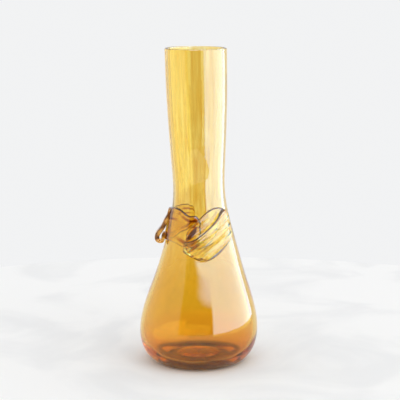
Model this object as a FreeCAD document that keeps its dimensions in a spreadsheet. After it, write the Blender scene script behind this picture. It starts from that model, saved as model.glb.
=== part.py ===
"""Glass bud vase: a blown amber vase with three bits of paler glass laid round its neck.

Frame: millimetres, +Z up, origin at the centre of the foot on the table, -Y towards the front.
Bearings round the neck are measured from the front, positive towards +X.
"""
import FreeCAD
import Part
import math
import os
import Sketcher

PARTS_FOLDER = "parts"
SHEET = "Dims"
ALL_ROUND = 360
UP = FreeCAD.Vector(0, 0, 1)
START, END, CENTRE = 1, 2, 3
SKETCH_ORIGIN = (-1, START)
SKETCH_V_AXIS = -2
NEAR = 1e-6
NEAR_EDGE = 1.0
LEVEL = 0.01

# The blown wall, foot to rim: height, outer radius, sideways shift of the hand-drawn axis.
# Stations are about evenly spaced along the outline, which keeps the lofted skin fair.
OUTLINE = {
    "foot": (0.0, 39.5, 0.0),
    "belly": (24.0, 56.4, 0.0),
    "haunch": (50.0, 54.2, 0.6),
    "slope": (76.0, 46.1, 1.3),
    "shoulder": (102.0, 37.9, 1.8),
    "collar": (128.0, 30.8, 1.7),
    "throat": (154.0, 25.6, 0.9),
    "waist": (180.0, 24.75, 0.0),
    "neck": (210.0, 26.5, -0.7),
    "stem": (240.0, 28.0, -1.3),
    "flare": (270.0, 28.9, -2.0),
    "rim": (300.0, 29.2, -2.7),
}
# How thick the wall is, measured level, where the cavity passes each height.
WALL = {
    "haunch": 4.2,
    "slope": 4.0,
    "shoulder": 3.8,
    "collar": 3.5,
    "throat": 3.2,
    "waist": 3.0,
    "neck": 2.9,
    "stem": 2.9,
    "flare": 2.8,
    "rim": 2.8,
}
# The bottom of the cavity: height and radius.
BOWL = {"floor": (6.6, 18.0), "floor_edge": (8.6, 43.2), "bowl_side": (24.0, 52.7)}

OTHER_SIZES = {
    "punt_r": 33.5,
    "punt_depth": 3.0,
    "lip_round": 1.2,
    "heel_round": 3.0,
    "cavity_overrun": 1.0,
    "seat_r": 33.0,
    "seat_z": 120.0,
    "seat_slope": 0.245,
    "seat_shift": 1.7,
}

# Sections of each drawn strip of glass, about evenly spaced round the neck: bearing, height and
# stand-off of the lower edge, the same of the upper edge, and half the thickness. Stand-off is
# measured level, from the cone that stands for the neck.
STRIPS = {
    "neck_band": {
        "tail": (-171, 130.0, 0.0, 139.0, 0.0, 1.2),
        "back": (-152, 124.5, 0.3, 145.5, 0.3, 2.0),
        "rise": (-133, 121.5, 0.4, 147.0, 0.3, 2.1),
        "swell": (-114, 120.0, 0.5, 147.5, 0.3, 1.9),
        "crest": (-95, 120.0, 0.6, 147.8, 0.3, 1.8),
        "fall": (-76, 121.0, 0.7, 148.5, 0.4, 1.9),
        "trough": (-57, 122.0, 0.8, 149.5, 0.6, 2.1),
        "lap": (-38, 120.5, 0.8, 147.5, 0.7, 2.1),
        "under": (-19, 117.0, 0.5, 143.5, 0.5, 2.0),
        "tip": (0, 124.0, 0.0, 137.0, 0.0, 1.2),
    },
    "fold_back": {
        "tip": (-22, 115.5, 2.4, 128.0, 2.6, 1.8),
        "nose": (-9, 110.6, 1.2, 137.5, 2.0, 2.0),
        "cheek": (4, 108.4, 0.4, 144.0, 0.8, 2.0),
        "face": (17, 110.0, 0.2, 148.5, 0.3, 1.9),
        "broad": (30, 114.5, 0.2, 150.5, 0.2, 1.9),
        "turn": (43, 119.5, 0.2, 150.5, 0.2, 1.9),
        "tuck": (56, 124.0, 0.1, 148.5, 0.1, 1.8),
        "end": (69, 128.0, 0.0, 142.0, 0.0, 1.2),
    },
    "fold_front": {
        "tip": (-24, 114.5, 4.6, 120.0, 6.0, 1.6),
        "nose": (-11, 110.0, 3.9, 123.0, 8.2, 1.8),
        "cheek": (2, 107.0, 3.2, 128.6, 8.4, 1.9),
        "face": (15, 108.0, 2.8, 135.4, 7.6, 1.9),
        "broad": (28, 112.8, 2.6, 142.0, 6.0, 1.9),
        "turn": (41, 118.0, 2.4, 147.6, 4.2, 1.8),
        "tuck": (54, 122.8, 1.6, 147.8, 2.4, 1.7),
        "end": (67, 127.0, 0.2, 142.5, 0.3, 1.2),
    },
}
STRIP_KEYS = ("bearing", "low_z", "low_off", "high_z", "high_off", "half")

# Sections of the hooked curl at the left, in the upright plane through the axis and X, from its
# root high on the neck down round the hook and back to the neck: place, turn about Y of the
# direction drawn, half the width between the round edges and half the thickness.
CURL = {
    "root": (-24.7, 147.6, -143, 2.8, 1.4),
    "strap": (-28.2, 143.0, -148, 3.6, 1.7),
    "drape": (-30.8, 137.6, -157, 4.2, 1.9),
    "run": (-33.1, 132.1, -153, 4.4, 2.1),
    "bend": (-36.4, 127.0, -147, 4.4, 2.2),
    "outside": (-39.5, 122.0, -169, 4.2, 2.2),
    "bottom": (-38.6, 117.2, -225, 4.0, 2.0),
    "hook": (-34.9, 116.6, -305, 3.8, 1.6),
    "return": (-34.0, 120.6, -344, 3.4, 1.5),
    "tongue": (-31.4, 124.4, -322, 2.8, 1.4),
    "landing": (-27.6, 127.0, -306, 2.0, 1.3),
}
CURL_KEYS = ("x", "z", "turn", "width", "half")


def fill_sheet(doc):
    """Every driving dimension as a cell with an alias."""
    cells = {}
    for name, (height, radius, shift) in OUTLINE.items():
        cells[name + "_z"] = height
        cells[name + "_r"] = radius
        cells[name + "_shift"] = shift
    for name, thickness in WALL.items():
        cells[name + "_wall"] = thickness
    for name, (height, radius) in BOWL.items():
        cells[name + "_z"] = height
        cells[name + "_r"] = radius
    cells.update(OTHER_SIZES)
    for strip, sections in STRIPS.items():
        for name, values in sections.items():
            for key, value in zip(STRIP_KEYS, values):
                cells[f"{strip}_{name}_{key}"] = value
    for name, values in CURL.items():
        for key, value in zip(CURL_KEYS, values):
            cells[f"curl_{name}_{key}"] = value

    sheet = doc.addObject("Spreadsheet::Sheet", SHEET)
    for row, (alias, value) in enumerate(cells.items(), start=1):
        sheet.set(f"A{row}", alias)
        sheet.set(f"B{row}", str(value))
        sheet.setAlias(f"B{row}", alias)
    doc.recompute()


def origin_plane(body, role):
    return next(f for f in body.Origin.OriginFeatures if f.Role == role)


def new_sketch(body, name, role, offset=None):
    sketch = body.newObject("Sketcher::SketchObject", name)
    sketch.AttachmentSupport = [(origin_plane(body, role), "")]
    sketch.MapMode = "FlatFace"
    if offset:
        sketch.AttachmentOffset = offset
    return sketch


def size(sketch, constraint, expression):
    """Adds a sized constraint and binds it to an expression on the sheet."""
    number = sketch.addConstraint(Sketcher.Constraint(*constraint))
    sketch.setExpression(f"Constraints[{number}]", expression)


def level_circle(body, name, radius, height, shift):
    """A level round section; radius, height and shift are expressions on the sheet."""
    sketch = new_sketch(body, name, "XY_Plane")
    start_r = OUTLINE["rim"][1]
    ring = sketch.addGeometry(Part.Circle(FreeCAD.Vector(), UP, start_r), False)
    sketch.addConstraint(Sketcher.Constraint("Coincident", ring, CENTRE, *SKETCH_ORIGIN))
    size(sketch, ("Radius", ring, start_r), radius)
    sketch.setExpression("AttachmentOffset.Base.z", height)
    sketch.setExpression("AttachmentOffset.Base.x", shift)
    return sketch


def loft(body, kind, name, sketches):
    made = body.newObject(kind, name)
    made.Profile = (sketches[0], [""])
    made.Sections = [(sketch, [""]) for sketch in sketches[1:]]
    return made


def blown_form(doc):
    """The vase's outer form as one filled solid."""
    body = doc.addObject("PartDesign::Body", "blown_form")
    sections = []
    for name in OUTLINE:
        at = f"{SHEET}.{name}"
        sections.append(level_circle(body, f"outline_{name}", at + "_r", at + "_z", at + "_shift"))
    loft(body, "PartDesign::AdditiveLoft", "outline", sections)
    doc.recompute()
    return body


def cavity_sections(body):
    """The cavity's sections from its floor up past the rim."""
    sections = []
    for name in BOWL:
        at = f"{SHEET}.{name}"
        shift = f"{SHEET}.belly_shift"
        sections.append(level_circle(body, f"cavity_{name}", at + "_r", at + "_z", shift))
    for name in WALL:
        at = f"{SHEET}.{name}"
        radius, height, shift = f"{at}_r - {at}_wall", at + "_z", at + "_shift"
        if name == "rim":
            height += f" + {SHEET}.cavity_overrun"
        sections.append(level_circle(body, f"cavity_{name}", radius, height, shift))
    return sections


def punt_sketch(body):
    """Half the section of the hollow under the foot, on the axis."""
    sketch = new_sketch(body, "punt_section", "XZ_Plane")
    depth, radius = OTHER_SIZES["punt_depth"], OTHER_SIZES["punt_r"]
    top = FreeCAD.Vector(0, depth, 0)
    edge = FreeCAD.Vector(radius, 0, 0)
    centre = FreeCAD.Vector()
    sag_radius = (radius**2 + depth**2) / (2 * depth)
    half_way = radius / 2
    middle = FreeCAD.Vector(half_way, depth - sag_radius + math.sqrt(sag_radius**2 - half_way**2), 0)
    dome = sketch.addGeometry(Part.Arc(edge, middle, top), False)
    axis = sketch.addGeometry(Part.LineSegment(top, centre), False)
    base = sketch.addGeometry(Part.LineSegment(centre, edge), False)
    edge_first = sketch.Geometry[dome].StartPoint.isEqual(edge, NEAR)
    at_edge, at_top = (START, END) if edge_first else (END, START)
    for constraint in (
        ("Coincident", dome, at_top, axis, START),
        ("Coincident", axis, END, base, START),
        ("Coincident", base, END, dome, at_edge),
        ("Coincident", axis, END, *SKETCH_ORIGIN),
        ("Vertical", axis),
        ("Horizontal", base),
        ("PointOnObject", dome, CENTRE, SKETCH_V_AXIS),
    ):
        sketch.addConstraint(Sketcher.Constraint(*constraint))
    size(sketch, ("DistanceX", base, START, base, END, radius), f"{SHEET}.punt_r")
    size(sketch, ("DistanceY", axis, END, axis, START, depth), f"{SHEET}.punt_depth")
    return sketch


def ring_edges(shape, height):
    """Names of the edges that lie level at this height."""
    names = []
    for number, edge in enumerate(shape.Edges, start=1):
        box = edge.BoundBox
        if abs(box.ZMin - height) < LEVEL and abs(box.ZMax - height) < LEVEL:
            names.append(f"Edge{number}")
    return names


def outer_foot_edges(shape):
    """The level edges at the foot that lie outside the punt."""
    return [
        name
        for name in ring_edges(shape, OUTLINE["foot"][0])
        if shape.getElement(name).BoundBox.XMax > OTHER_SIZES["punt_r"] + NEAR_EDGE
    ]


def vase_body(doc, form):
    """The blown wall: the form, hollowed, with a punt under the foot and a fire-rounded lip."""
    body = doc.addObject("PartDesign::Body", "vase_body")
    body.BaseFeature = form
    doc.recompute()
    loft(body, "PartDesign::SubtractiveLoft", "cavity", cavity_sections(body))
    doc.recompute()

    section = punt_sketch(body)
    punt = body.newObject("PartDesign::Groove", "punt")
    punt.Profile = section
    punt.ReferenceAxis = (section, ["V_Axis"])
    punt.Angle = ALL_ROUND
    doc.recompute()

    lip = body.newObject("PartDesign::Fillet", "lip")
    lip.Base = (punt, ring_edges(punt.Shape, OUTLINE["rim"][0]))
    lip.setExpression("Radius", f"{SHEET}.lip_round")
    doc.recompute()

    heel = body.newObject("PartDesign::Fillet", "heel")
    heel.Base = (lip, outer_foot_edges(lip.Shape))
    heel.setExpression("Radius", f"{SHEET}.heel_round")
    doc.recompute()
    return body


def turned_sketch(body, name, role, angle):
    """A sketch on an origin plane turned about that plane's own Y by an expression."""
    turn = FreeCAD.Placement(FreeCAD.Vector(), FreeCAD.Rotation(FreeCAD.Vector(0, 1, 0), 1))
    sketch = new_sketch(body, name, role, turn)
    sketch.setExpression("AttachmentOffset.Rotation.Angle", angle)
    return sketch


def slot(sketch, low, high, half):
    """A closed slot between two centres; returns the numbers of its two round ends."""
    along = (high - low).normalize()
    across = FreeCAD.Vector(-along.y, along.x, 0) * half
    facing = math.atan2(along.y, along.x)
    quarter = math.pi / 2
    low_end = Part.ArcOfCircle(Part.Circle(low, UP, half), facing + quarter, facing + 3 * quarter)
    high_end = Part.ArcOfCircle(Part.Circle(high, UP, half), facing - quarter, facing + quarter)
    side = sketch.addGeometry(Part.LineSegment(low + across, high + across), False)
    top = sketch.addGeometry(high_end, False)
    other = sketch.addGeometry(Part.LineSegment(high - across, low - across), False)
    bottom = sketch.addGeometry(low_end, False)
    for joint in (
        (side, END, top, END),
        (top, START, other, START),
        (other, END, bottom, END),
        (bottom, START, side, START),
    ):
        sketch.addConstraint(Sketcher.Constraint("Tangent", *joint))
    sketch.addConstraint(Sketcher.Constraint("Equal", top, bottom))
    return bottom, top


def seat_radius(height):
    """Radius of the straight cone that stands for the neck under the strips."""
    return OTHER_SIZES["seat_r"] + OTHER_SIZES["seat_slope"] * (OTHER_SIZES["seat_z"] - height)


def seat_expression(height, stand_off):
    return f"{SHEET}.seat_r + {SHEET}.seat_slope * ({SHEET}.seat_z - {height}) + {stand_off}"


def strip_section(body, key, values):
    """One section of a strip, in the upright plane at its bearing: a slot from edge to edge."""
    _, low_z, low_off, high_z, high_off, half = values
    at = f"{SHEET}.{key}"
    sketch = turned_sketch(body, key, "XZ_Plane", f"{at}_bearing - 90")
    low = FreeCAD.Vector(seat_radius(low_z) + low_off, low_z, 0)
    high = FreeCAD.Vector(seat_radius(high_z) + high_off, high_z, 0)
    bottom, top = slot(sketch, low, high, half)
    size(sketch, ("Radius", bottom, half), at + "_half")
    for end, point, edge in ((bottom, low, "low"), (top, high, "high")):
        height, stand_off = f"{at}_{edge}_z", f"{at}_{edge}_off"
        reach = seat_expression(height, stand_off)
        size(sketch, ("DistanceX", *SKETCH_ORIGIN, end, CENTRE, point.x), reach)
        size(sketch, ("DistanceY", *SKETCH_ORIGIN, end, CENTRE, point.y), height)
    return sketch


def strip_body(doc, strip):
    """A drawn strip of glass, lofted round the neck through its sections."""
    body = doc.addObject("PartDesign::Body", strip + "_strip")
    table = STRIPS[strip]
    sections = [strip_section(body, f"{strip}_{name}", values) for name, values in table.items()]
    loft(body, "PartDesign::AdditiveLoft", strip + "_loft", sections)
    body.setExpression("Placement.Base.x", f"{SHEET}.seat_shift")
    doc.recompute()
    return body


def curl_section(body, key, values):
    """One section across the hooked curl: a slot as wide as the curl, square to its path."""
    *_, width, half = values
    at = f"{SHEET}.{key}"
    sketch = turned_sketch(body, key, "XY_Plane", at + "_turn")
    sketch.setExpression("AttachmentOffset.Base.x", at + "_x")
    sketch.setExpression("AttachmentOffset.Base.z", at + "_z")
    bottom, top = slot(sketch, FreeCAD.Vector(0, -width, 0), FreeCAD.Vector(0, width, 0), half)
    size(sketch, ("Radius", bottom, half), at + "_half")
    for end in (bottom, top):
        sketch.addConstraint(Sketcher.Constraint("PointOnObject", end, CENTRE, SKETCH_V_AXIS))
    size(sketch, ("DistanceY", bottom, CENTRE, *SKETCH_ORIGIN, width), at + "_width")
    size(sketch, ("DistanceY", *SKETCH_ORIGIN, top, CENTRE, width), at + "_width")
    return sketch


def curl_body(doc):
    """The curl of glass at the left, drawn down from the neck and hooked back to it."""
    body = doc.addObject("PartDesign::Body", "curl_strip")
    sections = [curl_section(body, f"curl_{name}", values) for name, values in CURL.items()]
    loft(body, "PartDesign::AdditiveLoft", "curl_loft", sections)
    doc.recompute()
    return body


def cut_to_fit(doc, label, piece, *tools):
    """The piece less whatever it is laid on, so that the two meet face to face."""
    for number, tool in enumerate(tools):
        cut = doc.addObject("Part::Cut", f"{label}_fit_{number}")
        cut.Base = piece
        cut.Tool = tool
        doc.recompute()
        piece = cut
    piece.Label = label
    return piece


def check(doc, nodes):
    """Stops before anything is written if an object failed or a piece isn't one sound solid."""
    for item in doc.Objects:
        if "Invalid" in item.State or "Error" in item.State:
            raise RuntimeError(f"{item.Label} failed: {item.State}")
    for node in nodes:
        shape = node.Shape
        if shape.isNull() or not shape.isValid() or shape.Volume <= 0:
            raise RuntimeError(f"{node.Label} has no valid solid")
        print(node.Label, "solids", len(shape.Solids), "volume", round(shape.Volume, 1))


def main():
    doc = FreeCAD.newDocument("glass_bud_vase")
    fill_sheet(doc)
    form = blown_form(doc)
    vase = vase_body(doc, form)
    band = cut_to_fit(doc, "neck_band", strip_body(doc, "neck_band"), form)
    curl = cut_to_fit(doc, "side_curl", curl_body(doc), form, band)
    folded = doc.addObject("Part::Fuse", "folded_leaf")
    folded.Base = strip_body(doc, "fold_back")
    folded.Tool = strip_body(doc, "fold_front")
    fold = cut_to_fit(doc, "front_fold", folded, form, band)
    nodes = [vase, band, curl, fold]
    doc.recompute()
    check(doc, nodes)
    os.makedirs(PARTS_FOLDER, exist_ok=True)
    for node in nodes:
        node.Shape.exportStep(os.path.join(PARTS_FOLDER, node.Label + ".step"))


main()
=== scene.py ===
"""Looks of the glass bud vase: the blown wall and the folded ribbon round its neck, in clear amber
glass on a pale round table. Everything is in metres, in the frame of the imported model."""

import math

import bpy
import numpy as np
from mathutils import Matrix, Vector
from mathutils.bvhtree import BVHTree


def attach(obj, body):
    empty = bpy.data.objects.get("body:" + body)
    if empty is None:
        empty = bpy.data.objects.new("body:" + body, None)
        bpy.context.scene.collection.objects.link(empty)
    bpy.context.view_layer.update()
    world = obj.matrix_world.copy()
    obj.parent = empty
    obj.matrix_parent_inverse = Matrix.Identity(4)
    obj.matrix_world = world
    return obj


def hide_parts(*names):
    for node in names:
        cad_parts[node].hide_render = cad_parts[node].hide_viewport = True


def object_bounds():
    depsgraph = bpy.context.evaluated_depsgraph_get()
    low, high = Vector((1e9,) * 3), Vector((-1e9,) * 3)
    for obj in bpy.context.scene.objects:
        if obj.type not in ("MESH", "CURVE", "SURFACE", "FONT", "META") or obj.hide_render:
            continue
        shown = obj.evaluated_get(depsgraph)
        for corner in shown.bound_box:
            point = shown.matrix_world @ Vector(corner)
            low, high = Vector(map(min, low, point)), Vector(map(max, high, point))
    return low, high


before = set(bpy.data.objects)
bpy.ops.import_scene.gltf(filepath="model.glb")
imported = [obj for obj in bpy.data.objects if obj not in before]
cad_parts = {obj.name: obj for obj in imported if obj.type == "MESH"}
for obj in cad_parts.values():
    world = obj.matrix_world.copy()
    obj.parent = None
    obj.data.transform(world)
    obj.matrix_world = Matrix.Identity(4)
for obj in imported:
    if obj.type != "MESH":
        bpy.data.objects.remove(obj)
cad_low, cad_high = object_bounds()

MM = 0.001
FULL_TURN = 2 * math.pi
HEIGHT = cad_high.z
TURNS = 192
FAR = 1.0


# ---------------------------------------------------------------- measuring the CAD solids


def tree_of(node):
    """A ray-casting tree of a CAD node's own mesh."""
    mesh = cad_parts[node].data
    corners = [v.co.copy() for v in mesh.vertices]
    return BVHTree.FromPolygons(corners, [tuple(p.vertices) for p in mesh.polygons])


BODY_TREE = tree_of("vase_body")
RIGHT = Vector((1, 0, 0))
LEFT = Vector((-1, 0, 0))
UP = Vector((0, 0, 1))
DOWN = Vector((0, 0, -1))


def cast(start, way):
    """Where a ray first meets the CAD wall."""
    hit = BODY_TREE.ray_cast(Vector(start), way)[0]
    if hit is None:
        raise RuntimeError(f"no wall met from {tuple(start)}")
    return hit


def outer_ring(height):
    """(centre x, radius) of the outer skin at this height."""
    left = cast((-FAR, 0, height), RIGHT).x
    right = cast((FAR, 0, height), LEFT).x
    return (left + right) / 2, (right - left) / 2


def inner_ring(height):
    """(centre x, radius) of the cavity at this height."""
    left = cast((0, 0, height), LEFT).x
    right = cast((0, 0, height), RIGHT).x
    return (left + right) / 2, (right - left) / 2


# ---------------------------------------------------------------- helpers


def even(start, end, count):
    return [float(v) for v in np.linspace(start, end, count)]


def smoothstep(low, high, value):
    t = np.clip((value - low) / (high - low), 0, 1)
    return t * t * (3 - 2 * t)


def ring_faces(rings):
    """Quads between neighbouring rings of TURNS points each."""
    faces = []
    for ring in range(rings - 1):
        a = ring * TURNS
        b = a + TURNS
        for i in range(TURNS):
            j = (i + 1) % TURNS
            faces.append((a + j, b + j, b + i, a + i))
    return faces


def new_object(name, verts, faces):
    mesh = bpy.data.meshes.new(name)
    mesh.from_pydata([tuple(v) for v in verts], [], faces)
    mesh.validate()
    mesh.update()
    mesh.shade_smooth()
    obj = bpy.data.objects.new(name, mesh)
    bpy.context.collection.objects.link(obj)
    return obj


# ---------------------------------------------------------------- the blown wall

LIP = 1.3 * MM
LIP_ANGLES = np.linspace(0.15, 1.52, 7)
FLOOR_TOP = cast((0, 0, HEIGHT / 2), DOWN).z
PUNT_TOP = cast((0, 0, -FAR), UP).z
PUNT_EDGE = 33.5 * MM
LEVELS = 118

INNERMOST = 0.4 * MM
FOOT_MEASURED_AT = 0.3 * MM
FOOT_MARGIN = 0.6 * MM
FOOT_RINGS = 26
HEEL_LEVELS = [0.2 * MM, 0.6 * MM, 1.2 * MM, 2.0 * MM, 3.0 * MM, 4.2 * MM]
HEEL_END = 6 * MM
FREE_ABOVE = 20 * MM

INNER_FOOT = FLOOR_TOP + 7 * MM
FLOOR_MARGIN = 1.5 * MM
FLOOR_RINGS = 22
FLOOR_FREEDOM = 0.3


def rounded_top():
    """Heights up the fire-rounded lip, close together towards the top."""
    return [HEIGHT - LIP * (1 - math.sin(a)) for a in LIP_ANGLES]


def wall_rings():
    """Rings (centre x, radius, height, how freely it waves) from the punt's top round to the floor,
    and the number of the first ring inside."""
    rings = []
    foot_radius = outer_ring(FOOT_MEASURED_AT)[1]
    for r in even(INNERMOST, foot_radius - FOOT_MARGIN, FOOT_RINGS):
        rings.append((0, r, cast((0, r, -FAR), UP).z, 0.0))
    for z in HEEL_LEVELS + even(HEEL_END, HEIGHT - LIP, LEVELS) + rounded_top():
        rings.append((*outer_ring(z), z, min(1.0, z / FREE_ABOVE)))
    first_inside = len(rings)
    for z in rounded_top()[::-1] + even(HEIGHT - LIP, INNER_FOOT, LEVELS):
        rings.append((*inner_ring(z), z, 1.0))
    floor_radius = inner_ring(INNER_FOOT)[1] - FLOOR_MARGIN
    for r in even(floor_radius, INNERMOST, FLOOR_RINGS):
        rings.append((0, r, cast((0, r, INNER_FOOT), DOWN).z, FLOOR_FREEDOM))
    return rings, first_inside


def waves(angle, height, seed, terms, fewest, most, drift):
    """A smooth sum of cosines round and up the wall, about -1 to 1, mostly upright streaks."""
    rng = np.random.default_rng(seed)
    total = np.zeros_like(angle)
    for _ in range(terms):
        count = rng.integers(fewest, most)
        climb = rng.normal(0, drift)
        start = rng.uniform(0, FULL_TURN)
        total += np.cos(count * angle + climb * height + start) / math.sqrt(count)
    return total / math.sqrt(terms)


SWELL = {"terms": 9, "fewest": 2, "most": 15, "drift": 14}
OUTER_SWELL = 0.10 * MM
OUTER_SEED = 3
INNER_SWELL = 0.28 * MM
INNER_SEED = 8

DRAWN = {"terms": 12, "fewest": 18, "most": 44, "drift": 9}
DRAWN_SEED = 21
DRAWN_FROM = 120 * MM
DRAWN_TO = 175 * MM
DRAWN_DEPTH = 0.45 * MM


def drawn_lines(angle, height):
    """Fine upright lines up the neck, where the glass was drawn out furthest."""
    amount = DRAWN_DEPTH * float(smoothstep(DRAWN_FROM, DRAWN_TO, height))
    return amount * waves(angle, height, DRAWN_SEED, **DRAWN)


PRESS_TURN = math.radians(-82)
PRESS_SPREAD = math.radians(42)
PRESS_HEIGHT = 115 * MM
PRESS_REACH = 16 * MM
PRESS_DEPTH = 1.4 * MM


def pressed(angle, height):
    """How far the wall is pressed in where the hot fold was laid on it."""
    away = (angle - PRESS_TURN + math.pi) % FULL_TURN - math.pi
    round_it = np.exp(-((away / PRESS_SPREAD) ** 2))
    return PRESS_DEPTH * round_it * math.exp(-(((height - PRESS_HEIGHT) / PRESS_REACH) ** 2))


PUNT_RIBS = (34, 27, 45)
PUNT_RIB_SEED = 5
PUNT_RIB_FADE = 0.8
PUNT_RIB_RISE = 0.35 * MM


def punt_ribs(angle, radius):
    """Shallow radial creases under the foot, fading at the centre and at the contact ring."""
    part = np.clip(radius / PUNT_EDGE, 0, 1)
    fade = np.sin(math.pi * part) ** PUNT_RIB_FADE
    rng = np.random.default_rng(PUNT_RIB_SEED)
    total = np.zeros_like(angle)
    for count in PUNT_RIBS:
        total += np.cos(count * angle + rng.uniform(0, FULL_TURN))
    return total * fade / len(PUNT_RIBS)


def ring_points(angle, ring, inside):
    """One ring of the wall, with its swell, its drawn lines and the dent under the fold."""
    centre_x, r, z, freedom = ring
    depth, seed = (INNER_SWELL, INNER_SEED) if inside else (OUTER_SWELL, OUTER_SEED)
    radius = r + freedom * depth * waves(angle, z, seed, **SWELL) - pressed(angle, z)
    if inside:
        radius = radius + drawn_lines(angle, z)
    height = np.full(TURNS, z)
    under_foot = freedom == 0.0
    if under_foot:
        height = np.maximum(height + PUNT_RIB_RISE * punt_ribs(angle, r), 0.0)
    return np.stack([centre_x + radius * np.cos(angle), radius * np.sin(angle), height], 1)


def vase_mesh():
    """Points and faces of the closed wall, capped at the punt's top and at the floor's middle."""
    rings, first_inside = wall_rings()
    angle = np.linspace(0, FULL_TURN, TURNS, endpoint=False)
    verts = [ring_points(angle, ring, n >= first_inside) for n, ring in enumerate(rings)]
    verts.append(np.array([[0, 0, PUNT_TOP], [0, 0, FLOOR_TOP]]))
    verts = np.concatenate(verts)
    faces = ring_faces(len(rings))
    punt_middle = len(verts) - 2
    floor_middle = len(verts) - 1
    last_ring = (len(rings) - 1) * TURNS
    for i in range(TURNS):
        j = (i + 1) % TURNS
        faces.append((j, punt_middle, i))
        faces.append((last_ring + i, floor_middle, last_ring + j))
    return verts, faces


# ---------------------------------------------------------------- the ribbon

SMOOTH_FACTOR = 0.5


def remeshed(node, name, voxel, rounds):
    """A fine even mesh of a CAD node with its sharp edges melted round."""
    obj = bpy.data.objects.new(name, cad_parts[node].data.copy())
    bpy.context.collection.objects.link(obj)
    obj.data.materials.clear()
    remesh = obj.modifiers.new("remesh", "REMESH")
    remesh.mode = "VOXEL"
    remesh.voxel_size = voxel
    smooth = obj.modifiers.new("smooth", "SMOOTH")
    smooth.factor = SMOOTH_FACTOR
    smooth.iterations = rounds
    depsgraph = bpy.context.evaluated_depsgraph_get()
    mesh = bpy.data.meshes.new_from_object(obj.evaluated_get(depsgraph))
    obj.modifiers.clear()
    obj.data = mesh
    mesh.name = name
    mesh.shade_smooth()
    return obj


def read_vertices(mesh, what):
    """One row of three numbers per vertex: "co" or "normal"."""
    values = np.zeros(len(mesh.vertices) * 3)
    mesh.vertices.foreach_get(what, values)
    return values.reshape(-1, 3)


def put_coordinates(mesh, co):
    mesh.vertices.foreach_set("co", co.ravel())
    mesh.update()


NECK_LEVELS = even(90 * MM, 170 * MM, 41)
NECK_RINGS = np.array([outer_ring(z) for z in NECK_LEVELS])


def stand_off(co):
    """How far each point stands off the neck, and the outward direction there."""
    centre = np.interp(co[:, 2], NECK_LEVELS, NECK_RINGS[:, 0])
    radius = np.interp(co[:, 2], NECK_LEVELS, NECK_RINGS[:, 1])
    out = np.stack([co[:, 0] - centre, co[:, 1], np.zeros(len(co))], 1)
    length = np.linalg.norm(out, axis=1)
    return length - radius, out / length[:, None]


def tilted(co, centre, tilt):
    """Distances along and across a line through centre (x, z), tilted up to the right."""
    dx = co[:, 0] - centre[0]
    dz = co[:, 2] - centre[1]
    along = dx * math.cos(tilt) + dz * math.sin(tilt)
    across = dz * math.cos(tilt) - dx * math.sin(tilt)
    return along, across


SEAT_SINK = 0.7 * MM
SEAT_FADE = 1.2 * MM


def seat(obj):
    """Sinks a piece's seat into the wall, so that the two read as one glass."""
    co = read_vertices(obj.data, "co")
    off, out = stand_off(co)
    sink = SEAT_SINK * (1 - smoothstep(0.0, SEAT_FADE, off))
    put_coordinates(obj.data, co - out * sink[:, None])


# Where a leaf's edge gets its deeper orange and a painted shade outline, faded out to the right.
RIM_EDGE_ON = 0.80
RIM_FACE_ON = 0.955
RIM_FADE_FROM = 22 * MM
RIM_FADE_TO = 29 * MM


def leaf_rim(co, no):
    """How far each point lies round a leaf's edge, 0 to 1, fading out towards the right: deeper
    orange there, then painted shade.
    """
    out = stand_off(co)[1]
    facing = np.abs((no * out).sum(1))
    edge = 1 - smoothstep(RIM_EDGE_ON, RIM_FACE_ON, facing)
    return edge * (1 - smoothstep(RIM_FADE_FROM, RIM_FADE_TO, co[:, 0]))


# Painted shade: dark crease lines along the band, drawn as colour only.
CREASE_SHADE_LINES = ((0.84, 0.035), (0.66, 0.025), (0.16, 0.05))
CREASE_BINS = 60
CREASE_BREAKS = 5
CREASE_SLANT = 9
CREASE_SHADE_DEPTH = 0.85


def creases(co):
    """Painted shade in dark crease lines along the band, each at its share of the way up from the
    lower edge.
    """
    turn = np.arctan2(co[:, 0], -co[:, 1])
    stops = np.linspace(turn.min(), turn.max(), CREASE_BINS)
    held = np.clip(np.searchsorted(stops, turn), 1, CREASE_BINS - 1)
    lowest = np.array([co[held == i, 2].min() for i in range(1, CREASE_BINS)])
    highest = np.array([co[held == i, 2].max() for i in range(1, CREASE_BINS)])
    middles = (stops[1:] + stops[:-1]) / 2
    low_edge = np.interp(turn, middles, lowest)
    high_edge = np.interp(turn, middles, highest)
    share = (co[:, 2] - low_edge) / np.maximum(high_edge - low_edge, MM)
    lines = [np.exp(-(((share - place) / width) ** 2)) for place, width in CREASE_SHADE_LINES]
    broken = 0.5 + 0.5 * np.cos(CREASE_BREAKS * turn + CREASE_SLANT * share)
    return CREASE_SHADE_DEPTH * np.max(lines, axis=0) * broken


# Painted shadow in the gap between the fold's two layers.
POCKET_CENTRE = (-6.3 * MM, 129.5 * MM)
POCKET_TILT = math.radians(52)
POCKET_LONG = 8.2 * MM
POCKET_WIDE = 2.6 * MM
POCKET_DEEPEST = 5.2 * MM
POCKET_FULL = 0.7
POCKET_GONE = 1.15


def pocket_shadow(co, no):
    """Painted shadow in the mouth of the gap between the fold's two layers, on the layer behind."""
    off, out = stand_off(co)
    along, across = tilted(co, POCKET_CENTRE, POCKET_TILT)
    distance = np.hypot(along / POCKET_LONG, across / POCKET_WIDE)
    inside = 1 - smoothstep(POCKET_FULL, POCKET_GONE, distance)
    return inside * (off < POCKET_DEEPEST) * ((no * out).sum(1) > 0)


# Painted shade in bands down the curl, over a steady orange tone.
STRAND_BAND = 8.5 * MM
STRAND_LEAN = 0.4
STRAND_LIGHT = 0.35
STRAND_SHADE_DEPTH = 0.62


def strand_shade_bands(co):
    """Painted shade in dark and light bands down a strand seen on edge."""
    place = (co[:, 2] - STRAND_LEAN * co[:, 0]) / STRAND_BAND
    wave = 0.5 + 0.5 * np.cos(FULL_TURN * place)
    return STRAND_LIGHT + STRAND_SHADE_DEPTH * wave ** 2


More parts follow.
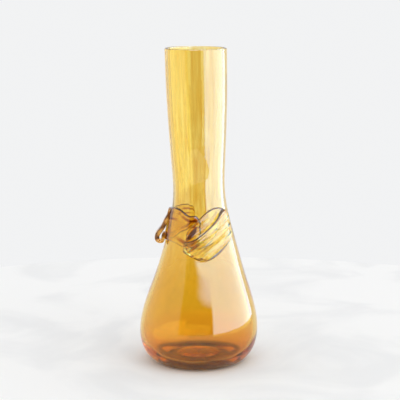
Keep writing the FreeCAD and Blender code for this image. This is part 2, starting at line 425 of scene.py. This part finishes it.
FOLD_TILT = math.radians(38)
FOLD_CENTRE = (8.0 * MM, 129.0 * MM)
RIDGE_GAP = 7.6 * MM
RIDGE_RISE = 0.75 * MM
RIDGE_FROM = 1.5 * MM
RIDGE_TO = 3.5 * MM
RIDGE_SWAY = 0.7 * MM
RIDGE_SWAY_LENGTH = 10 * MM
RIDGE_SHIFT = 0.6
MINOR_RIDGE = 0.35
MINOR_PACE = 2.3
MINOR_SHIFT = 2.0


def ridge_fold(obj, co, no):
    """Long drawn ridges along the fold's outer face."""
    off, out = stand_off(co)
    facing = np.clip((no * out).sum(1), 0, 1) ** 2 * smoothstep(RIDGE_FROM, RIDGE_TO, off)
    along, across = tilted(co, FOLD_CENTRE, FOLD_TILT)
    phase = FULL_TURN * (across + RIDGE_SWAY * np.sin(along / RIDGE_SWAY_LENGTH)) / RIDGE_GAP
    wave = np.cos(phase + RIDGE_SHIFT) + MINOR_RIDGE * np.cos(MINOR_PACE * phase + MINOR_SHIFT)
    put_coordinates(obj.data, co + no * (facing * wave * RIDGE_RISE)[:, None])


# ---------------------------------------------------------------- materials


class Wiring:
    """Short calls for a node tree's arithmetic."""

    def __init__(self, tree):
        self.nodes = tree.nodes
        self.links = tree.links

    def node(self, kind):
        return self.nodes.new("ShaderNode" + kind)

    def plug(self, value, socket):
        """Links a socket, or sets a plain value."""
        if hasattr(value, "is_output"):
            self.links.new(value, socket)
        else:
            socket.default_value = value

    def math(self, operation, *values):
        node = self.node("Math")
        node.operation = operation
        for value, socket in zip(values, node.inputs):
            self.plug(value, socket)
        return node.outputs["Value"]

    def ramp(self, value, start, end, low=0.0, high=1.0, kind="SMOOTHSTEP"):
        """Low to high as the value goes from start to end."""
        node = self.node("MapRange")
        node.interpolation_type = kind
        sockets = ("Value", "From Min", "From Max", "To Min", "To Max")
        for name, item in zip(sockets, (value, start, end, low, high)):
            self.plug(item, node.inputs[name])
        return node.outputs["Result"]

    def mix(self, factor, a, b):
        """Between two colours; a colour is a socket or a plain triple."""
        node = self.node("Mix")
        node.data_type = "RGBA"
        colours = [socket for socket in node.inputs if socket.type == "RGBA"]
        self.plug(factor, node.inputs["Factor"])
        for item, socket in zip((a, b), colours):
            self.plug(item if hasattr(item, "is_output") else (*item, 1), socket)
        return next(socket for socket in node.outputs if socket.type == "RGBA")

    def noise(self, scale, detail):
        node = self.node("TexNoise")
        node.inputs["Scale"].default_value = scale
        node.inputs["Detail"].default_value = detail
        return node

    def parts(self, vector):
        node = self.node("SeparateXYZ")
        self.plug(vector, node.inputs["Vector"])
        return node.outputs


def shade(colour, strength):
    return tuple(strength * part for part in colour)


def node_material(name):
    material = bpy.data.materials.new(name)
    material.use_nodes = True
    material.node_tree.nodes.clear()
    return material, Wiring(material.node_tree)


GLASS_BEND = 1.5
GLASS_ROUGHEST = 0.02
GLASS_DETAIL = 3.0
GLASS_RIPPLE = 0.35
ABSORB = (0.915, 0.800, 0.500)


def glass(name, density, streak, ripple_depth, tint):
    """Clear coloured glass: coloured through its depth, tinted at its skin by tint(wire, place,
    streaks), with faint drawn streaks and a soft ripple."""
    material, wire = node_material(name)
    output = wire.node("OutputMaterial")
    surface = wire.node("BsdfPrincipled")
    surface.inputs["IOR"].default_value = GLASS_BEND
    surface.inputs["Transmission Weight"].default_value = 1.0
    depth = wire.node("VolumeAbsorption")
    depth.inputs["Color"].default_value = (*ABSORB, 1)
    depth.inputs["Density"].default_value = density

    place = wire.node("TexCoord").outputs["Object"]
    stretch = wire.node("Mapping")
    stretch.inputs["Scale"].default_value = streak
    wire.plug(place, stretch.inputs["Vector"])
    noise = wire.noise(1.0, GLASS_DETAIL)
    wire.plug(stretch.outputs["Vector"], noise.inputs["Vector"])
    streaks = noise.outputs["Fac"]
    wire.plug(tint(wire, place, streaks), surface.inputs["Base Color"])
    wire.plug(wire.ramp(streaks, 0, 1, 0, GLASS_ROUGHEST), surface.inputs["Roughness"])

    bump = wire.node("Bump")
    bump.inputs["Strength"].default_value = GLASS_RIPPLE
    bump.inputs["Distance"].default_value = ripple_depth
    wire.plug(streaks, bump.inputs["Height"])
    wire.plug(bump.outputs["Normal"], surface.inputs["Normal"])
    wire.plug(surface.outputs["BSDF"], output.inputs["Surface"])
    wire.plug(depth.outputs["Volume"], output.inputs["Volume"])
    return material


STREAK_DARK = 0.38
STREAK_CLEAR = 0.62

SKIN_FOOT = 60 * MM
SKIN_TOP = 150 * MM
THIN_SKIN = (0.985, 0.865, 0.450)
THIN_STREAK = (0.925, 0.705, 0.230)
DEEP_SKIN = (0.945, 0.697, 0.148)
DEEP_STREAK = 0.97

FOOT_SKIN = (0.955, 0.53, 0.12)
FOOT_SKIN_TOP = 44 * MM
FOOT_SKIN_LOW = 12 * MM
# Painted shade at the heel: dark brown in the last few millimetres above the table, for the contact
# shadow under the foot.
CONTACT_SHADE_BROWN = (0.16, 0.075, 0.045)
CONTACT_SHADE_TOP = 4.5 * MM
CONTACT_SHADE_LOW = 0.5 * MM

# Painted shade under the punt, for the shadowed table seen through the foot, laid out as a star of
# rays.
STAR_SHADE_DEEP = (0.40, 0.24, 0.13)
STAR_SHADE_PALE = (0.72, 0.50, 0.30)
STAR_SCALE = 9.0
STAR_DETAIL = 2.0
STAR_FROM = 0.42
STAR_TO = 0.64
STAR_FADE = 3 * MM
STAR_BELOW_FLOOR = 1 * MM
STAR_ABOVE_PUNT = 0.5 * MM


def punt_shade_star(wire, x, y):
    """Painted shade under the punt, in dark rays from the middle of the foot."""
    rays = wire.noise(STAR_SCALE, STAR_DETAIL)
    rays.noise_dimensions = "1D"
    wire.plug(wire.math("ARCTAN2", y, x), rays.inputs["W"])
    return wire.mix(wire.ramp(rays.outputs["Fac"], STAR_FROM, STAR_TO), STAR_SHADE_DEEP, STAR_SHADE_PALE)


def body_tint(wire, place, streaks):
    """The blown wall's skin: clear above, denser low down where the glass was stretched least,
    brown painted shade at the heel where it meets the table, and a star of painted shade under the
    foot."""
    x, y, z = wire.parts(place)
    thin = wire.mix(wire.ramp(streaks, STREAK_DARK, STREAK_CLEAR), THIN_STREAK, THIN_SKIN)
    deep = wire.mix(streaks, shade(DEEP_SKIN, DEEP_STREAK), DEEP_SKIN)
    colour = wire.mix(wire.ramp(z, SKIN_TOP, SKIN_FOOT), thin, deep)
    colour = wire.mix(wire.ramp(z, FOOT_SKIN_TOP, FOOT_SKIN_LOW), colour, FOOT_SKIN)
    # Painted shade: the heel turns dark brown where the foot meets the table.
    colour = wire.mix(wire.ramp(z, CONTACT_SHADE_TOP, CONTACT_SHADE_LOW), colour, CONTACT_SHADE_BROWN)

    # Painted shade under the punt: inside the contact ring, between the floor and the punt's top.
    squares = wire.math("ADD", wire.math("MULTIPLY", x, x), wire.math("MULTIPLY", y, y))
    radius = wire.math("SQRT", squares)
    within_punt = wire.ramp(radius, PUNT_EDGE, PUNT_EDGE - STAR_FADE)
    below_floor = wire.ramp(z, FLOOR_TOP - STAR_BELOW_FLOOR, PUNT_TOP + STAR_ABOVE_PUNT)
    punt_shade_mask = wire.math("MULTIPLY", within_punt, below_floor)
    return wire.mix(punt_shade_mask, colour, punt_shade_star(wire, x, y))


# Deeper orange where a ribbon edge rolls round; the brown is painted shade for edge outlines,
# creases, the fold's gap and the curl's bands.
RIM_ORANGE = (0.66, 0.31, 0.09)
RIM_ORANGE_AT = 0.5
EDGE_SHADE_BROWN = (0.04, 0.010, 0.004)
EDGE_SHADE_FROM = 0.4
PALE_SKIN = (1.0, 0.985, 0.50)
PALE_STREAK = (0.97, 0.86, 0.28)


def ribbon_tint(wire, place, streaks):
    """The ribbon's skin: pale, deeper orange round its edges, then brown where shade is painted on.
    """
    attribute = wire.node("Attribute")
    attribute.attribute_name = "rim"
    rim = attribute.outputs["Fac"]
    pale = wire.mix(wire.ramp(streaks, STREAK_DARK, STREAK_CLEAR), PALE_STREAK, PALE_SKIN)
    # Orange as the edge rolls round, then brown painted shade.
    orange = wire.mix(wire.ramp(rim, 0.0, RIM_ORANGE_AT, kind="LINEAR"), pale, RIM_ORANGE)
    return wire.mix(wire.ramp(rim, EDGE_SHADE_FROM, 1.0, kind="LINEAR"), orange, EDGE_SHADE_BROWN)


BODY_DENSITY = 100.0
BODY_STREAK = (420, 420, 7)
BODY_RIPPLE = 0.03 * MM
RIBBON_DENSITY = 120.0
RIBBON_STREAK = (60, 60, 60)
RIBBON_RIPPLE = 0.05 * MM


def amber_glass():
    return glass("amber_glass", BODY_DENSITY, BODY_STREAK, BODY_RIPPLE, body_tint)


def pale_amber_glass():
    return glass("pale_amber_glass", RIBBON_DENSITY, RIBBON_STREAK, RIBBON_RIPPLE, ribbon_tint)


MARBLE_VEIN = (0.88, 0.88, 0.88)
MARBLE_WHITE = (0.95, 0.947, 0.94)
MARBLE_ROUGHNESS = 0.55
MARBLE_SCALE = 7.0
MARBLE_DETAIL = 7.0
MARBLE_DISTORTION = 0.9
VEIN_FROM = 0.36
VEIN_TO = 0.56


def marble():
    """A pale honed table top with barely visible veins."""
    material, wire = node_material("pale_table")
    output = wire.node("OutputMaterial")
    surface = wire.node("BsdfPrincipled")
    surface.inputs["Roughness"].default_value = MARBLE_ROUGHNESS
    surface.inputs["Specular IOR Level"].default_value = 0.0
    noise = wire.noise(MARBLE_SCALE, MARBLE_DETAIL)
    noise.inputs["Distortion"].default_value = MARBLE_DISTORTION
    wire.plug(wire.node("TexCoord").outputs["Object"], noise.inputs["Vector"])
    veins = wire.ramp(noise.outputs["Fac"], VEIN_FROM, VEIN_TO)
    wire.plug(wire.mix(veins, MARBLE_VEIN, MARBLE_WHITE), surface.inputs["Base Color"])
    wire.plug(surface.outputs["BSDF"], output.inputs["Surface"])
    return material


# ---------------------------------------------------------------- the pieces


def finish_piece(obj, material, slot, *nodes):
    obj.data.materials.clear()
    obj.data.materials.append(material)
    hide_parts(*nodes)
    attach(obj, "root")


def finish_ribbon(obj, material, rim, node):
    """Stores each point's deeper tone and painted shade, seats the piece on the wall and finishes
    it.
    """
    obj.data.attributes.new("rim", "FLOAT", "POINT").data.foreach_set("value", rim)
    seat(obj)
    finish_piece(obj, material, "pale_amber_glass", node)


LEAF_VOXEL = 0.5 * MM
FOLD_VOXEL = 0.45 * MM
STRAND_VOXEL = 0.35 * MM
LEAF_SMOOTHING = 10
STRAND_SMOOTHING = 6


def blown_vase(material):
    obj = new_object("blown_vase", *vase_mesh())
    finish_piece(obj, material, "amber_glass", "vase_body")


def ribbon_band(material):
    obj = remeshed("neck_band", "ribbon_band", LEAF_VOXEL, LEAF_SMOOTHING)
    co = read_vertices(obj.data, "co")
    no = read_vertices(obj.data, "normal")
    # Deeper orange at the band's edges, with painted shade outlines and painted shade crease lines.
    rim = np.maximum(leaf_rim(co, no), creases(co))
    finish_ribbon(obj, material, rim, "neck_band")


def ribbon_curl(material):
    obj = remeshed("side_curl", "ribbon_curl", STRAND_VOXEL, STRAND_SMOOTHING)
    # Painted shade in bands down the curl.
    rim = strand_shade_bands(read_vertices(obj.data, "co"))
    finish_ribbon(obj, material, rim, "side_curl")


def ribbon_fold(material):
    obj = remeshed("front_fold", "ribbon_fold", FOLD_VOXEL, LEAF_SMOOTHING)
    co = read_vertices(obj.data, "co")
    no = read_vertices(obj.data, "normal")
    # Deeper orange at the fold's edges, with painted shade outlines and the painted shadow in its
    # gap.
    rim = np.maximum(leaf_rim(co, no), pocket_shadow(co, no))
    ridge_fold(obj, co, no)
    finish_ribbon(obj, material, rim, "front_fold")


# ---------------------------------------------------------------- the table, light and camera

TABLE_RADIUS = 0.643
TABLE_CENTRE = (0.01, -0.20)
TABLE_THICK = 0.03
TABLE_EDGE = 0.006
TABLE_EDGE_STEPS = 7
TABLE_DROP = 0.02 * MM


def table_top():
    """A round table with a softly turned edge, its top just under the foot."""
    turned = even(0, math.pi / 2, TABLE_EDGE_STEPS)
    profile = [
        (TABLE_RADIUS - TABLE_EDGE * (1 - math.sin(a)), TABLE_EDGE * (math.cos(a) - 1))
        for a in turned
    ]
    profile.append((TABLE_RADIUS, TABLE_EDGE - TABLE_THICK))
    profile.append((TABLE_RADIUS - TABLE_EDGE, -TABLE_THICK))
    around = np.linspace(0, FULL_TURN, TURNS, endpoint=False)
    verts = [(r * math.cos(a), r * math.sin(a), z) for r, z in profile for a in around]
    faces = [face[::-1] for face in ring_faces(len(profile))]
    faces.append(tuple(range(TURNS)))
    faces.append(tuple(range(len(verts) - TURNS, len(verts)))[::-1])
    top = new_object("table_top", verts, faces)
    top.location = (*TABLE_CENTRE, -TABLE_DROP)
    top.data.materials.append(marble())


KEY_PLACE = (0.9, -0.9, 1.6)
KEY_TARGET = (0, 0, 0.1)
KEY_SIZE = 0.9
KEY_RADIANCE = 1.3


def soft_key():
    """One large soft light from above, in front and to the right."""
    light = bpy.data.lights.new("soft_key", "AREA")
    light.shape = "RECTANGLE"
    light.size = KEY_SIZE
    light.size_y = KEY_SIZE
    light.energy = math.pi * KEY_SIZE * KEY_SIZE * KEY_RADIANCE
    obj = bpy.data.objects.new("soft_key", light)
    obj.location = KEY_PLACE
    aim = Vector(KEY_TARGET) - Vector(KEY_PLACE)
    obj.rotation_euler = aim.to_track_quat("-Z", "Y").to_euler()
    obj.visible_camera = False
    bpy.context.collection.objects.link(obj)


BACKDROP = 0.90
SURROUND = 0.95
DARK_ROOM = 0.03
LEFT_WINDOW = 1.0
RIGHT_WINDOW = 7.2
CLEAN_WHITE = (0.985, 0.992, 1.0)
SKY = (0.42, 0.66, 1.0)
WINDOW_EDGE = math.radians(28)
WINDOW_BACK = math.radians(132)
LEFT_EDGE = math.radians(-40)
OVERHEAD_EDGE = math.radians(-30)
OVERHEAD_HIGH = math.radians(27.5)
OVERHEAD_LOW = math.radians(19.5)
SOFT = math.radians(2)


def soft_edge(wire, value, edge):
    return wire.ramp(value, edge - SOFT, edge + SOFT)


def room(wire):
    """The room round the vase: a bright window from the right and overhead, a dim one at the left,
    a dark gap in front and plain white behind."""
    x, y, z = wire.parts(wire.node("TexCoord").outputs["Generated"])
    turn = wire.math("ARCTAN2", x, wire.math("MULTIPLY", y, -1.0))
    climb = wire.math("ARCSINE", z)
    sill = wire.ramp(turn, OVERHEAD_EDGE, WINDOW_EDGE, OVERHEAD_HIGH, OVERHEAD_LOW, "LINEAR")
    above_sill = wire.ramp(wire.math("SUBTRACT", climb, sill), -SOFT, SOFT)
    overhead = wire.math("MULTIPLY", above_sill, soft_edge(wire, turn, OVERHEAD_EDGE))
    window = wire.math("MAXIMUM", overhead, soft_edge(wire, turn, WINDOW_EDGE))
    dim = shade(CLEAN_WHITE, LEFT_WINDOW)
    dark = shade(CLEAN_WHITE, DARK_ROOM)
    light = wire.mix(soft_edge(wire, turn, LEFT_EDGE), dim, dark)
    light = wire.mix(window, light, shade(SKY, RIGHT_WINDOW))
    behind = soft_edge(wire, wire.math("ABSOLUTE", turn), WINDOW_BACK)
    return wire.mix(behind, light, shade(CLEAN_WHITE, SURROUND))


def studio_world():
    """A plain white surround. Only light that has been mirrored at least once on its way to the
    camera comes from the room's windows; the rest comes from the surround or the backdrop."""
    world = bpy.data.worlds.new("studio")
    bpy.context.scene.world = world
    world.use_nodes = True
    world.cycles.sampling_method = "NONE"
    world.node_tree.nodes.clear()
    wire = Wiring(world.node_tree)
    surround = shade(CLEAN_WHITE, SURROUND)
    ray = wire.node("LightPath")
    mirrored = wire.math("MINIMUM", ray.outputs["Glossy Depth"], 1.0)
    light = wire.mix(mirrored, surround, room(wire))
    light = wire.mix(ray.outputs["Is Diffuse Ray"], light, surround)
    light = wire.mix(ray.outputs["Is Camera Ray"], light, shade(CLEAN_WHITE, BACKDROP))
    background = wire.node("Background")
    wire.plug(light, background.inputs["Color"])
    wire.plug(background.outputs["Background"], wire.node("OutputWorld").inputs["Surface"])


LENS = 113.3
SENSOR = 36.0
CAMERA_PLACE = (0.00136, -1.1787, 0.3707)
CAMERA_PITCH = math.radians(10.33)


def camera():
    data = bpy.data.cameras.new("camera")
    data.lens = LENS
    data.sensor_width = SENSOR
    obj = bpy.data.objects.new("camera", data)
    obj.location = CAMERA_PLACE
    obj.rotation_euler = (math.pi / 2 - CAMERA_PITCH, 0, 0)
    bpy.context.collection.objects.link(obj)
    bpy.context.scene.camera = obj


# Light crosses many walls, and light trapped in the thick foot is mirrored many times over.
MOST_BOUNCES = 96
MOST_CROSSINGS = 48

blown_vase(amber_glass())
ribbon_glass = pale_amber_glass()
ribbon_band(ribbon_glass)
ribbon_curl(ribbon_glass)
ribbon_fold(ribbon_glass)
table_top()
studio_world()
soft_key()
camera()

scene = bpy.context.scene
scene.view_settings.view_transform = "Standard"
scene.cycles.max_bounces = MOST_BOUNCES
scene.cycles.transmission_bounces = MOST_CROSSINGS
scene.cycles.glossy_bounces = MOST_BOUNCES
